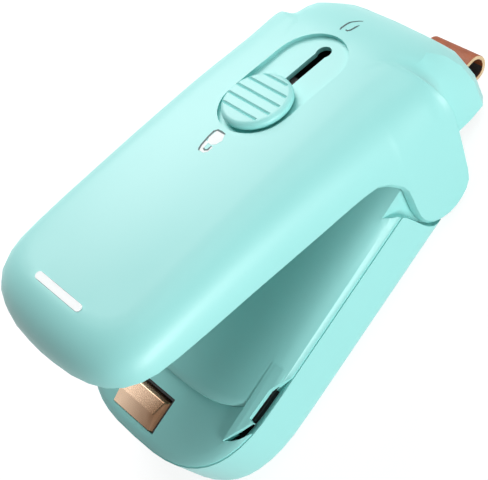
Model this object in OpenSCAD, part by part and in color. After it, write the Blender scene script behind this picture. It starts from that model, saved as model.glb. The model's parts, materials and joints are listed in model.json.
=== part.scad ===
// Hand-held heat sealer for snack bags: a base that carries the heater and
// the cutter, and a sprung lid that swings on a cross pin near the rear.
// Millimetres, +Z up, front at -Y. The origin is on the table under the
// middle of the sealer as it rests with its lid open.
// Lengths along Y in the modules count from the hinge pin.

/* [Base] */
// Width of the base across its side walls
base_w = 48.8; // [44:0.2:56]
// Distance from the hinge pin to the front of the base
base_front = 74.9; // [66:0.1:90]
// Distance from the hinge pin to the rear of the base
base_rear = 14.6; // [13:0.1:16]
// Height of the line where base shell and deck meet
rim_z = 14.1; // [12.5:0.1:16]
// Wall of the base shell
base_wall = 1.8; // [1.4:0.1:2.4]
// Radius of the edge under the base
base_edge = 4.5; // [3:0.1:6.5]

/* [Deck] */
// Rise of the front platform above the rim
platform_rise = 1.3; // [0.8:0.1:1.8]
// Height of the hump at its front step
hump_z = 16.9; // [16.2:0.1:17.4]
// Distance from the hinge pin to the front step of the hump
hump_front = 60.0; // [52:0.5:62]
// Skin left over the pocket under the hump
deck_skin = 1.9; // [1.6:0.1:2.2]
// Reach of the pointed tooth ahead of the front step, over the cutter
tooth_reach = 3.7; // [2.5:0.1:4.5]

/* [Heater] */
// Length of the heater block across the base
heater_len = 12.8; // [11:0.2:15]
// Depth of the heater block along the base
heater_depth = 7.5; // [7:0.1:8.4]
// Height of the ridge of the heater block
heater_top = 16.1; // [15.7:0.1:16.4]
// Distance of the heater block from the hinge pin, at its middle
heater_out = 68.15; // [62:0.05:69]
// Offset of the heater block to the left
heater_shift = 2.6; // [1:0.2:5]

/* [Cutter] */
// Height of the gap under the tooth that the film runs into
slot_h = 0.45; // [0.4:0.05:0.6]
// Depth of the cutter mouth below the rim
mouth_depth = 3.0; // [1.8:0.1:3.4]
// Thickness of the cutter blade
blade_t = 0.4; // [0.3:0.05:0.6]

/* [Hinge] */
// Height of the hinge pin above the table
hinge_z = 8.1; // [7.8:0.1:8.6]
// Diameter of the hinge pin
pin_d = 3.0; // [2:0.1:3.4]
// Running clearance round the pin
pin_clear = 0.05; // [0.02:0.01:0.1]
// Radius of the round lobe at the foot of each lid cheek
lobe_r = 7.3; // [6.5:0.1:7.5]

/* [Lid] */
// How far each wall of the lid stands inside the base wall at its front
lid_inset = 1.4; // [1:0.1:2]
// How far each cheek of the lid stands outside the base wall
cheek_out = 0.1; // [0:0.05:0.6]
// Distance from the hinge pin to the front of the lid
lid_front = 77.8; // [68:0.2:92]
// Distance from the hinge pin to the rear of the tail
lid_rear = 23.2; // [22:0.1:26]
// How far each side of the tail stands inside the base wall
tail_inset = 6.4; // [5:0.1:8]
// Height of the lid lip while the lip lies level
lip_z = 20.5; // [20:0.1:22]
// Height of the lid top at its crown
lid_top = 34.1; // [32.5:0.1:37]
// Wall of the lid shell
lid_wall = 1.5; // [1.4:0.1:2.2]
// Angle from the level lid up to the open stop
open_angle = 22; // [18:1:24]
// Angle from the level lid down to where the pad meets the heater
press_angle = 4; // [3:0.5:5]

/* [Lock slide] */
// Diameter of the slide button
button_d = 14.2; // [12:0.2:15]
// Travel of the slide
slide_travel = 11; // [8:0.5:12]
// Depth of the slide recess
recess_depth = 1.2; // [1:0.1:1.6]
// Thickness of the floor of the slide recess
track_t = 1.0; // [0.8:0.1:1.4]
// Number of grip ribs on the button
rib_count = 6; // [4:1:8]

/* [Light bar] */
// Length of the light bar
light_len = 14.4; // [10:0.2:20]
// Width of the light bar
light_w = 1.6; // [1.2:0.1:2.4]

/* [Strap] */
// Width of the leather strap
strap_w = 12.2; // [8:0.2:13]
// Thickness of the leather
strap_t = 0.8; // [0.7:0.1:1]
// Reach of the strap fold past the tail
strap_reach = 5.0; // [3:0.2:8]
// Radius of the strap's fold behind the tail
fold_r = 2.9; // [2.2:0.1:3]

/* [Inner parts] */
// Length of the battery cell
cell_len = 34; // [28:1:36]
// Width of the battery cell
cell_w = 25; // [20:1:27]
// Thickness of the battery cell
cell_t = 6.6; // [5:0.1:7.4]
// Thickness of the circuit boards
board_t = 1.0; // [0.8:0.1:1.6]

/* [Hidden] */
teal = "#A9ECE8";
dark = "#2A2F31";
bronze = "#B08D6E";
steel = "#C9CDD1";

// Steps that each control stretch of an outline is split into
outline_steps = 2;
base_x = base_w / 2;
lid_x = base_x - lid_inset;
cheek_x = base_x + cheek_out;
tail_x = base_x - tail_inset;
cheek_clear = 0.6;
fit = 0.1;
seam = 0.3;

// Strap: the fold, its pin, and how far back the rested sealer reaches
strap_x = 4.7;
strap_r = 2.0;
strap_z = hinge_z + 4.6;
strap_pin_y = lid_rear - 4.4;
strap_tip_y = lid_rear + strap_reach - fold_r;
rest_reach = strap_tip_y * cos(open_angle) + (strap_z - hinge_z) * sin(open_angle) + fold_r;
rest_y = (base_front - rest_reach) / 2;

function mix(a, b, t) = a + (b - a) * t;

// Smooth curve through rows of values, with each stretch split into steps
function curve_point(rows, i, t) =
    let(n = len(rows) - 1, a = rows[max(i - 1, 0)], b = rows[i])
    let(c = rows[min(i + 1, n)], d = rows[min(i + 2, n)])
    (b * 2 + (c - a) * t + (a * 2 - b * 5 + c * 4 - d) * t * t
        + (b * 3 - a - c * 3 + d) * t * t * t) / 2;
function curve(rows, steps) = [
    for (i = [0:len(rows) - 2], k = [0:steps - 1]) curve_point(rows, i, k / steps),
    rows[len(rows) - 1]
];

// A half outline from front to rear, closed with its mirror image
function both_sides(half) = concat(half, [
    for (i = [len(half) - 2:-1:1]) [-half[i][0], half[i][1], half[i][2]]
]);

// Closed solid through rings of equally many points, fanned to a middle point at each end
module skin(rings, first_mid, last_mid) {
    n = len(rings[0]);
    m = len(rings);
    points = concat([for (ring = rings, p = ring) p], [first_mid, last_mid]);
    sides = [for (j = [0:m - 2], i = [0:n - 1], half = [0:1])
        let(k = (i + 1) % n)
        half == 0 ? [j * n + i, (j + 1) * n + k, j * n + k]
                  : [j * n + i, (j + 1) * n + i, (j + 1) * n + k]];
    front = [for (i = [0:n - 1]) [m * n, i, (i + 1) % n]];
    back = [for (i = [0:n - 1]) [m * n + 1, (m - 1) * n + (i + 1) % n, (m - 1) * n + i]];
    polyhedron(points, concat(front, sides, back), convexity = 8);
}

// Places what belongs to the base, and what belongs to the lid drawn level
module on_base() {
    translate([0, rest_y, 0]) children();
}
module on_lid(angle = open_angle) {
    translate([0, rest_y, hinge_z]) rotate([-angle, 0, 0]) translate([0, 0, -hinge_z]) children();
}
// Places what belongs to the lid, drawn as it lies with the lid pressed shut
module on_pressed_lid() {
    on_lid(open_angle + press_angle) children();
}

// Lid: its top line, and one row per control point of half its outline.
// Each row is wall x, wall y, lip height, shoulder height, top edge x, top edge y.
lid_crown_y = -28;
function lid_top_z(x, y) = lid_top - 0.0013 * pow(y - lid_crown_y, 2)
    + 0.039 * (y - lid_crown_y) - 0.0045 * x * x;
lid_edge = 8.4;
arch_y = -17;
arch_z = lip_z - 0.4;
lobe_low = hinge_z - lobe_r;
tail_lip = 9.2;
tail_step = 7.2;
nose = lid_edge + 0.6;
side_top = lid_x - lid_edge;
rear_top = side_top - 0.9;
lid_rows = concat(
    [
        [0, -lid_front, lip_z, lip_z + 1.3, 0, nose - lid_front],
        [lid_x * 0.4, 0.6 - lid_front, lip_z, lip_z + 1.3, lid_x * 0.25, nose + 0.2 - lid_front],
        [lid_x * 0.74, 3.0 - lid_front, lip_z, lip_z + 1.4, lid_x * 0.49, nose + 1.4 - lid_front],
        [lid_x * 0.93, 7.8 - lid_front, lip_z, lip_z + 1.5, lid_x * 0.62, nose + 4.6 - lid_front],
        [lid_x * 0.99, 15.5 - lid_front, lip_z, lip_z + 1.6, side_top, 20 - lid_front],
        [lid_x + 0.1, -45, lip_z, lip_z + 1.7, side_top - 0.2, -43],
        [lid_x + 0.5, -28, lip_z, lip_z + 1.3, side_top - 0.4, -28],
        [lid_x + 0.8, arch_y - 3, lip_z + 0.2, lip_z + 1.1, side_top - 0.5, -20],
        [lid_x + 1.0, -13.6, lip_z - 0.3, lip_z + 0.5, side_top - 0.6, -15],
        [cheek_x - 0.3, -9.8, lip_z - 3.4, lip_z - 0.2, side_top - 0.8, -11],
        [cheek_x - 0.1, -7.9, hinge_z + 5.8, lip_z - 0.8, side_top - 0.8, -8]
    ],
    [for (a = [180:30:330]) [cheek_x, lobe_r * cos(a), hinge_z + lobe_r * sin(a),
        lip_z - 0.8, rear_top, mix(-6.5, 1.5, (a - 180) / 150)]],
    [
        [cheek_x, lobe_r - 0.6, hinge_z + 1.5, lip_z - 1, rear_top - 0.1, 2.0],
        [cheek_x - 0.1, lobe_r - 0.6, tail_lip + 3.2, lip_z - 1, rear_top - 0.2, 2.4],
        [cheek_x - 1.4, tail_step - 0.2, tail_lip + 3.4, lip_z - 1.2, rear_top - 0.5, 2.6],
        [tail_x + 1.9, tail_step + 0.2, tail_lip + 2.4, lip_z - 1.4, rear_top - 1.0, 2.8],
        [tail_x + 0.3, tail_step + 1.6, tail_lip + 0.8, lip_z - 2.6, rear_top - 1.6, 2.6],
        [tail_x - 0.3, tail_step + 4.6, tail_lip, lip_z - 5.4, rear_top - 2.4, 2.2],
        [tail_x - 1.1, lid_rear - 3.2, tail_lip, tail_lip + 1.6, rear_top - 3.2, 1.6],
        [tail_x - 5.2, lid_rear - 0.4, tail_lip, tail_lip + 1.4, rear_top - 6.2, 2.0],
        [tail_x * 0.32, lid_rear - 0.1, tail_lip, tail_lip + 1.2, lid_x * 0.15, 2.3],
        [0, lid_rear, tail_lip, tail_lip + 1.2, 0, 2.4]
    ]);
lid_half = curve(lid_rows, outline_steps);
lid_mid_y = (lid_rear - lid_front) / 2;
lid_len = (lid_rear + lid_front) / 2;

// Point of the lid skin a depth d inside it: on the wall at share w of its height,
// on the edge at angle a, or on the top at share s of the way out from the middle
function lid_in_x(x, d) = x * (1 - d / cheek_x);
function lid_in_y(y, d) = lid_mid_y + (y - lid_mid_y) * (1 - d / lid_len);
function lid_wall_ring(w, d, foot) = both_sides([for (r = lid_half)
    [lid_in_x(r[0], d), lid_in_y(r[1], d), mix(r[2] + foot, r[3], w)]]);
function lid_edge_ring(a, d) = both_sides([for (r = lid_half)
    let(wall = [lid_in_x(r[0], d), lid_in_y(r[1], d)], top = [r[4], r[5]])
    let(p = mix(top, wall, cos(a)), z = lid_top_z(top[0], top[1]) - d)
    [p[0], p[1], mix(r[3], z, sin(a))]]);
function lid_top_ring(s, d) = both_sides([for (r = lid_half)
    let(x = r[4] * s, y = mix(lid_crown_y, r[5], s))
    [x, y, lid_top_z(x, y) - d]]);

// Bar with round ends from one y to another, r half wide
module slot_bar(x, y0, y1, r, z0, z1) {
    for (y = [y0, y1]) translate([x, y, z0]) cylinder(r = r, h = z1 - z0, $fn = 48);
    translate([x - r, y0, z0]) cube([2 * r, y1 - y0, z1 - z0]);
}
module block(x0, x1, y0, y1, z0, z1) {
    translate([x0, y0, z0]) cube([x1 - x0, y1 - y0, z1 - z0]);
}
module rod_x(x0, x1, y, z, r) {
    translate([x0, y, z]) rotate([0, 90, 0]) cylinder(r = r, h = x1 - x0, $fn = 48);
}
// Round wire through a few points
function unit(v) = v / norm(v);
// Rings of a tube along a path, turned by a direction that the path never takes
function tube_ring(path, i, r, sides, aside) =
    let(way = unit(path[min(i + 1, len(path) - 1)] - path[max(i - 1, 0)]))
    let(u = unit(cross(way, aside)), v = cross(way, u))
    [for (k = [0:sides - 1]) path[i] + r * (u * cos(360 * k / sides) + v * sin(360 * k / sides))];
module tube(path, d, sides, aside) {
    skin([for (i = [0:len(path) - 1]) tube_ring(path, i, d / 2, sides, aside)],
        path[0], path[len(path) - 1]);
}
module wire(points, d) {
    tube(curve(points, 3), d, 8, [1, 1, -1]);
}

// Half outline of the base, from its front to its rear
front_len = 25;
front_power = 3.0;
rear_x = tail_x - lid_wall - 0.6;
shoulder_y = lobe_r - 4.2;
function front_arc(a) = [base_x * pow(sin(a), 2 / front_power),
    front_len - base_front - front_len * pow(cos(a), 2 / front_power), 0];
base_half = concat(
    [for (a = [0:7.5:90]) front_arc(a)],
    [for (y = [front_len - base_front + 6:10:-12]) [base_x, y, 0]],
    [[base_x, shoulder_y - 1.6, 0], [base_x - 2.2, shoulder_y, 0], [rear_x + 1.2, shoulder_y + 0.3, 0]],
    [for (a = [0:15:90]) [rear_x * pow(cos(a), 0.8),
        mix(shoulder_y + 1.4, base_rear, pow(sin(a), 0.8)), 0]]);
base_mid_y = (base_rear - base_front) / 2;
base_len = (base_rear + base_front) / 2;
function base_ring(inset, z) = [for (p = both_sides(base_half))
    [p[0] * (1 - inset / base_x), base_mid_y + (p[1] - base_mid_y) * (1 - inset / base_len), z]];
module base_plan(inset) {
    polygon([for (p = base_ring(inset, 0)) [p[0], p[1]]]);
}

// Room outside the base for the cheeks of the lid: their side view as the lid is pressed shut,
// drawn a little ahead and grown by the clearance
recess_x = cheek_x - lid_wall - cheek_clear;
cavity_rear = base_x - recess_x + base_wall + 0.2;
cheek_view = concat([[-24, 60]],
    [for (r = lid_half) if (r[1] > -24 && r[1] < 0.1 && r[0] > lid_x) [r[1] - 0.3, r[2]]],
    [[40, lobe_low], [40, 60]]);
module cheek_room() {
    in_pressed_frame() for (s = [-1, 1]) translate([s > 0 ? recess_x : -recess_x - 6, 0, 0])
        rotate([90, 0, 90]) linear_extrude(6) offset(delta = 0.5) polygon(cheek_view);
}

// Places of the screws that join base and deck, and liner and lid
base_screw_x = base_x - base_wall - 3.9;
base_joint_z = rim_z - 4;
screw_d = 1.7;
screw_head_d = 3.2;
lid_screw_x = 13.5;
lid_screw_y = [-54, -27];
liner_z = lip_z + 1.7;
liner_t = 1.4;

// Heater place
heat_x0 = -heater_shift - heater_len / 2;
heat_x1 = -heater_shift + heater_len / 2;
heat_y0 = -heater_out - heater_depth / 2;
heat_y1 = -heater_out + heater_depth / 2;
seat_wall = 0.6;
seat_z0 = rim_z - 5.1;
core_z = seat_z0 + 2;
core_t = 1.2;
block_z0 = core_z + core_t;
lead_d = 1;
lead_x = 3;
lead_y = heat_y1 - 2.2;

// Room for the heater seat in the shell, and for the block and the seat's open sides in the deck
module heater_room() {
    block(heat_x0 - seat_wall - fit, heat_x1 + seat_wall + fit,
        heat_y0 - seat_wall - fit, heat_y1 + seat_wall + fit, seat_z0, 30);
}
module heater_window() {
    block(heat_x0 - fit, heat_x1 + seat_wall + fit, heat_y0 - fit, heat_y1 + seat_wall + fit, seat_z0, 30);
}

// Cutter place: a deep mouth along the right rim, under a pointed tooth of the hump.
// Each row is x from the side wall inwards and y from the front step of the hump.
tooth_under = rim_z + slot_h;
function from_step(rows) = [for (r = rows) [base_x + r[0], r[1] - hump_front]];
tooth_edge = from_step([[-4.5, -tooth_reach], [-1.4, 2.5], [-2.4, 2.7], [-2.1, 9.4], [-0.3, 13.6]]);
mouth_edge = from_step([[6, 13.6], [6, 1.7], [-0.2, 1.7], [-0.9, 0.4], [-1.8, -1.4], [-3, -2.7]]);
under_edge = from_step([[-3.8, -1], [-3.8, 11.4], [-1.5, 11.4], [-1.5, -1]]);
tooth_plan = from_step([[-4.5, -tooth_reach], [-1.4, 2.5], [-1.2, 14], [-4.5, 14]]);
blade_x = base_x - 3.0;
blade_y0 = 3.2 - hump_front;
blade_y1 = 11.4 - hump_front;
blade_z0 = rim_z - 5.2;
holder_z0 = rim_z - 5.8;
mouth_z = rim_z - mouth_depth;

module mouth_plan(inset) {
    intersection() {
        polygon(concat(tooth_edge, mouth_edge));
        base_plan(inset);
    }
}

// Hinge pin ribs inside the base, and the torsion spring between two of them
pin_r = pin_d / 2;
rib_r = pin_r + 2.1;
rib_t = 1.6;
spring_x0 = 6.2;
spring_d = 0.8;
spring_turns = 4;
spring_r = pin_r + 0.35 + spring_d / 2;
spring_pitch = spring_d + 0.15;
spring_end = 27;
spring_x1 = spring_x0 + spring_pitch * (spring_turns + (90 + spring_end) / 360);

// Battery cell, and behind it the main board with its switch and socket
cell_y0 = -59.4;
cell_z0 = base_wall + 0.3;
board_z = 4;
board_top = board_z + board_t;
board_x0 = -base_x + 4.6;
board_x1 = 12;
board_y0 = cell_y0 + cell_len + 1.4;
board_y1 = -8.2;
spring_foot_y = board_y1 + 1;
usb_len = 7.3;
usb_x0 = -base_x + 0.3;
usb_y = board_y0 + 6.5;
usb_w = 8.9;
usb_h = 3.2;
usb_z = board_top + usb_h / 2;
switch_w = 6;
switch_x = usb_x0 + usb_len + 1.8 + switch_w / 2;
switch_y = board_y0 + 3.5;
base_screw_at = [[base_screw_x - 2.2, 10.4 - base_front], [base_screw_x, board_y0 - 4]];
switch_h = 3.6;
plunger_r = 1.7;
plunge = 0.3;
plunger_top = board_top + switch_h + 2.2;
post_r = 1.3;

// Slide place on the lid
button_r = button_d / 2;
slide_y = -18.2;
track_r = button_r + 0.95;
track_end = slide_y + slide_travel + 2;
track_top = lid_top_z(0, slide_y + 8);
track_floor = track_top - recess_depth;
track_base = track_floor - track_t;
key_r = 1.3;
key_end_r = 1.6;
key_end_y = track_end + track_r - 3.9;
stem_x = 2.2;
latch_top = track_base - 0.2;
latch_t = 1.4;

// The deck and the lid when it is pressed shut, drawn in the frame of the level lid
module in_pressed_frame() {
    translate([0, 0, hinge_z]) rotate([press_angle, 0, 0]) translate([0, 0, -hinge_z]) children();
}
hump_level = hinge_z + (hump_z - hinge_z) * cos(press_angle) + (hump_front - 2) * sin(press_angle);
skin_level = hump_level - deck_skin;

// Latch foot: it hangs ahead of the button and catches under the hump when the lid is shut
foot_gap = 0.3;
foot_t = 1.5;
foot_x = 5.6;
foot_y = 3;
foot_ahead = 14;
foot_at = slide_y - foot_ahead;
foot_top = hump_z + (foot_at + slide_travel + hump_front - 2 - foot_y) * tan(press_angle)
    - deck_skin / cos(press_angle) - foot_gap;

module base_shell() {
    color(teal) on_base() difference() {
        union() {
            difference() {
                skin(concat(
                    [for (a = [0:18:90]) base_ring(base_edge * (1 - sin(a)), base_edge * (1 - cos(a)))],
                    [base_ring(0, rim_z)]), [0, base_mid_y, 0], [0, base_mid_y, rim_z]);
                translate([0, 0, base_wall]) linear_extrude(20) intersection() {
                    base_plan(base_wall + 2.2);
                    translate([-40, -100]) square([80, 88]);
                }
                translate([0, 0, base_edge]) linear_extrude(20) intersection() {
                    base_plan(base_wall);
                    translate([-40, -100]) square([80, 88]);
                }
                translate([0, 0, base_wall]) linear_extrude(20) intersection() {
                    base_plan(cavity_rear);
                    translate([-40, -14]) square([80, 60]);
                }
            }
            for (s = [-1, 1], p = base_screw_at) translate([s * p[0], p[1], base_wall - 0.2])
                cylinder(r = 2.5, h = base_joint_z - base_wall + 0.2, $fn = 40);
            for (s = [-1, 1]) {
                rod_x(s > 0 ? recess_x - 4 : -recess_x, s > 0 ? recess_x : 4 - recess_x, 0, hinge_z, rib_r);
                block(s > 0 ? recess_x - 4 : -recess_x, s > 0 ? recess_x : 4 - recess_x,
                    -rib_r, shoulder_y, base_wall - 0.2, hinge_z);
                block(s > 0 ? heat_x1 - 1 : heat_x0, s > 0 ? heat_x1 : heat_x0 + 1,
                    heat_y0 + 1, heat_y1, base_wall - 0.2, seat_z0);
            }
            for (x = [spring_x0 - spring_d / 2 - 0.25 - rib_t, spring_x1 + spring_d / 2 + 0.25]) {
                rod_x(x, x + rib_t, 0, hinge_z, rib_r);
                block(x, x + rib_t, -rib_r, rib_r, base_wall - 0.2, hinge_z);
            }
            for (p = [[board_x0 + 3, board_y1 - 3], [board_x1 - 3, board_y1 - 3],
                [board_x1 - 3, board_y0 + 2]]) translate([p[0], p[1], base_wall - 0.2])
                    cylinder(r = 1.6, h = board_z - base_wall + 0.2, $fn = 32);
        }
        cheek_room();
        heater_room();
        hull() {
            translate([0, 0, rim_z]) linear_extrude(2) mouth_plan(0.3);
            translate([0, 0, rim_z - 1.2]) linear_extrude(0.1) mouth_plan(base_wall);
        }
        rod_x(-base_x, base_x, 0, hinge_z, pin_r + 0.02);
        for (s = [-1, 1], p = base_screw_at) translate([s * p[0], p[1], -1]) {
            cylinder(d = screw_d + 2 * fit, h = 30, $fn = 32);
            cylinder(d = screw_head_d + 2 * fit, h = 1 + 3, $fn = 32);
        }
        translate([-base_x - 2, usb_y, usb_z]) rotate([0, 90, 0]) rotate([0, 0, 90])
            slot_bar_flat(usb_w + 0.3, usb_h + 0.3, 6);
    }
}
// Bar with round ends lying flat: w wide along x, h high along y
module slot_bar_flat(w, h, deep) {
    for (s = [-1, 1]) translate([s * (w - h) / 2, 0, 0]) cylinder(d = h, h = deep, $fn = 32);
    translate([-(w - h) / 2, -h / 2, 0]) cube([w - h, h, deep]);
}

// Deck: front platform, then the hump as rows across the base, each with its crown
hump_half = base_x - seam - 0.12;
hump_foot = rim_z + 0.12;
function hump_line(x) = -hump_front + 0.002 * x * x + 0.00002 * pow(x, 4);
function hump_top_z(y) = hump_z + (y + hump_front - 2) * tan(press_angle);
function hump_row(y, share, lift) = let(steps = 22) [for (i = [0:steps])
    let(t = 2 * i / steps - 1, x = hump_half * sign(t) * (1 - pow(1 - abs(t), 1.6)))
    let(crown = pow(max(1 - pow(abs(x / hump_half), 3), 0), 0.5))
    [x, y + share * (hump_line(x) + hump_front), hump_foot + lift * crown * (hump_top_z(y) - hump_foot)]];
hump_rows = [
    [-hump_front, 1, 0.3], [0.35 - hump_front, 1, 0.8], [1 - hump_front, 1, 0.97], [2.2 - hump_front, 1, 1],
    [6 - hump_front, 0.75, 1], [13 - hump_front, 0.3, 1], [22 - hump_front, 0, 1],
    [-26, 0, 1], [-13, 0, 1], [shoulder_y - 4, 0, 1], [shoulder_y - 1.5, 0, 0.93],
    [shoulder_y - 0.5, 0, 0.75], [shoulder_y, 0, 0.4]
];
// Pointed tooth over the cutter: the side of the hump drawn forward and cut to a point
module tooth() {
    intersection() {
        translate([0, 0, rim_z + 0.3]) linear_extrude(6) polygon(tooth_plan);
        skin([for (y = [-hump_front - 8, -hump_front - 3, 15 - hump_front]) hump_row(y, 0, 1)],
            [0, -hump_front - 8, hump_foot + 0.5], [0, 15 - hump_front, hump_foot + 0.5]);
    }
}
// Mouth that the film runs into: open beside the tooth, low under it, with a pocket round the blade
module cutter_mouth() {
    translate([0, 0, rim_z - 1]) {
        linear_extrude(10) polygon(concat(tooth_edge, mouth_edge));
        linear_extrude(1 + slot_h) polygon(under_edge);
    }
    block(blade_x - blade_t / 2 - fit / 2, blade_x + blade_t / 2 + fit / 2, blade_y0 - fit, blade_y1 + fit,
        rim_z - 1, tooth_under + 0.5);
}
module base_deck() {
    color(teal) on_base() difference() {
        union() {
            skin(concat([base_ring(seam, rim_z)], [for (a = [0:30:90])
                base_ring(seam + 4 * (1 - cos(a)), rim_z + 0.3 + (platform_rise - 0.3) * sin(a))],
                [base_ring(base_x / 2, rim_z + platform_rise)]),
                [0, base_mid_y, rim_z], [0, base_mid_y, rim_z + platform_rise]);
            skin([for (r = hump_rows) hump_row(r[0], r[1], r[2])],
                [0, -hump_front, hump_foot], [0, shoulder_y, rim_z + 1]);
            tooth();
            for (s = [-1, 1], p = base_screw_at) translate([s * p[0], p[1], base_joint_z])
                cylinder(r = 2.5, h = rim_z - base_joint_z + 0.5, $fn = 40);
        }
        cheek_room();
        cutter_mouth();
        heater_window();
        in_pressed_frame() {
            block(-16, 16, 5.5 - hump_front, -4, rim_z - 3, skin_level);
            foot_keyhole();
            block(switch_x - post_r - 0.6, switch_x + post_r + 0.6,
                switch_y - post_r - 1, switch_y + post_r + 4.6, 12, 30);
            block(spring_x1 - 0.9, spring_x1 + 0.9, -13, 1, 12, 30);
        }
        for (s = [-1, 1], p = base_screw_at) translate([s * p[0], p[1], 0])
            cylinder(d = screw_d + 0.1, h = rim_z, $fn = 32);
    }
}
// Keyhole in the hump that holds the foot of the latch
module foot_keyhole() {
    block(-foot_x / 2 - 0.5, foot_x / 2 + 0.5,
        foot_at - foot_y / 2 - 1, foot_at + foot_y / 2 + 2.4, 12, 30);
    block(-stem_x / 2 - 0.4, stem_x / 2 + 0.4, foot_at, foot_at + slide_travel + 2.2, 12, 30);
}

module screw(head_z, tip_z) {
    translate([0, 0, head_z]) cylinder(d = screw_head_d, h = 1.2, $fn = 32);
    translate([0, 0, head_z + 1.2]) cylinder(d = screw_d, h = tip_z - head_z - 1.2, $fn = 32);
}
module base_screws() {
    color(steel) on_base() for (s = [-1, 1], p = base_screw_at)
        translate([s * p[0], p[1], 0]) screw(1.8, rim_z - 0.6);
}
module hinge_pin() {
    color(steel) on_base() rod_x(1 - cheek_x, cheek_x - 1, 0, hinge_z, pin_r);
}

// Torsion spring: one leg on the base floor, a coil round the pin, one leg up to the lid
spring_steps = 30;
lid_leg = [-12.5, liner_z - hinge_z - spring_d / 2 - 0.1];
spring_path = concat(
    [[spring_x0, spring_foot_y, base_wall + spring_d / 2 + 0.05]],
    [for (a = [-90:spring_steps:360 * spring_turns + spring_end])
        [spring_x0 + spring_pitch * (a + 90) / 360, spring_r * cos(a), hinge_z + spring_r * sin(a)]],
    [[spring_x1, spring_r * cos(spring_end), hinge_z + spring_r * sin(spring_end)],
        [spring_x1, lid_leg[0] * cos(open_angle) + lid_leg[1] * sin(open_angle),
            hinge_z + lid_leg[1] * cos(open_angle) - lid_leg[0] * sin(open_angle)]]);
module return_spring() {
    color(steel) on_base() tube(spring_path, spring_d, 6, [1, 0.02, 0.01]);
}

module heater_seat() {
    color(dark) on_base() difference() {
        block(heat_x0 - seat_wall, heat_x1 + seat_wall, heat_y0 - seat_wall, heat_y1 + seat_wall,
            seat_z0, rim_z + 0.9);
        block(heat_x0 - fit, heat_x1 + fit, heat_y0 - fit, heat_y1 + fit, core_z, 30);
        block(heat_x0 - 5, heat_x1 + 5, heat_y0 - 5, heat_y0, rim_z - fit, 30);
        block(heat_x0 - 5, heat_x0, heat_y0 - 5, heat_y1 + 5, rim_z - fit, 30);
        for (s = [-1, 1]) translate([s * lead_x - heater_shift, lead_y, seat_z0 - 1])
            cylinder(d = lead_d + 4 * fit, h = 4, $fn = 32);
    }
}
module heater_core() {
    color("white") on_base()
        block(heat_x0 + 1.5, heat_x1 - 1.5, heat_y0 + 1.4, heat_y1 - 1.4, core_z, block_z0);
}
// Heater block: a low roof with its ridge along the base, chamfered at its right end
module heater_block() {
    color(bronze) on_base() difference() {
        translate([heat_x0, 0, 0]) rotate([90, 0, 90]) linear_extrude(heater_len) polygon([
            [heat_y0, block_z0], [heat_y0, heater_top - 0.6], [heat_y0 + 3.1, heater_top],
            [heat_y1 - 1.2, heater_top - 0.5], [heat_y1, heater_top - 1.9], [heat_y1, block_z0]]);
        translate([heat_x1 - 1.3, -90, heater_top]) rotate([0, 48, 0]) cube([8, 60, 6]);
    }
}
// Leads from the heater core, along the side walls, to the main board
lead_side = base_screw_x - 4.1;
module heater_leads() {
    color("white") on_base() for (s = [-1, 1]) {
        x = -heater_shift + s * lead_x;
        wire([[x, lead_y, core_z - 0.02], [x, lead_y, seat_z0 + 0.6], [x, lead_y + 0.5, seat_z0 - 0.8],
            [x + s * 1.5, heat_y1 + 2.6, seat_z0 - 1], [s * (lead_side - 0.5), heat_y1 + 5.6, 9.6],
            [s * lead_side, -45, 9.6], [s * lead_side, board_y0 - 6, 9.2],
            [s * (lead_side - 0.2), board_y0 - 2, 8.2],
            [s < 0 ? board_x0 + 3.4 : board_x1 - 0.2, board_y0 + 0.2, board_top + 1.6],
            [s < 0 ? board_x0 + 2.8 : board_x1 - 2.6, board_y0 + 2, board_top + 0.5]], lead_d);
    }
}

// Holder round the blade, with a floor that closes the mouth
module blade_holder() {
    color(dark) on_base() difference() {
        union() {
            translate([0, 0, holder_z0]) linear_extrude(rim_z - fit - holder_z0) intersection() {
                polygon(from_step([[-4.5, 2.6], [0, 2.6], [0, 12], [-4.5, 12]]));
                base_plan(base_wall + 0.1);
            }
            translate([0, 0, mouth_z - 1.2]) linear_extrude(1.2) intersection() {
                polygon(from_step([[-5.4, -tooth_reach], [0, -tooth_reach], [0, 13], [-4.5, 13]]));
                base_plan(base_wall + 0.1);
            }
        }
        block(blade_x - blade_t / 2 - fit / 2, blade_x + blade_t / 2 + fit / 2,
            blade_y0 - fit, blade_y1 + fit, blade_z0, 30);
    }
}
// Blade on edge under the tooth, its cutting side slanting back
module cutter_blade() {
    color(steel) on_base() translate([blade_x - blade_t / 2, 0, 0]) rotate([90, 0, 90])
        linear_extrude(blade_t) polygon([[blade_y0, blade_z0], [blade_y1, blade_z0],
            [blade_y1, tooth_under + 0.3], [blade_y1 - 1.5, tooth_under + 0.4], [blade_y0, rim_z - 0.8]]);
}

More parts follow.
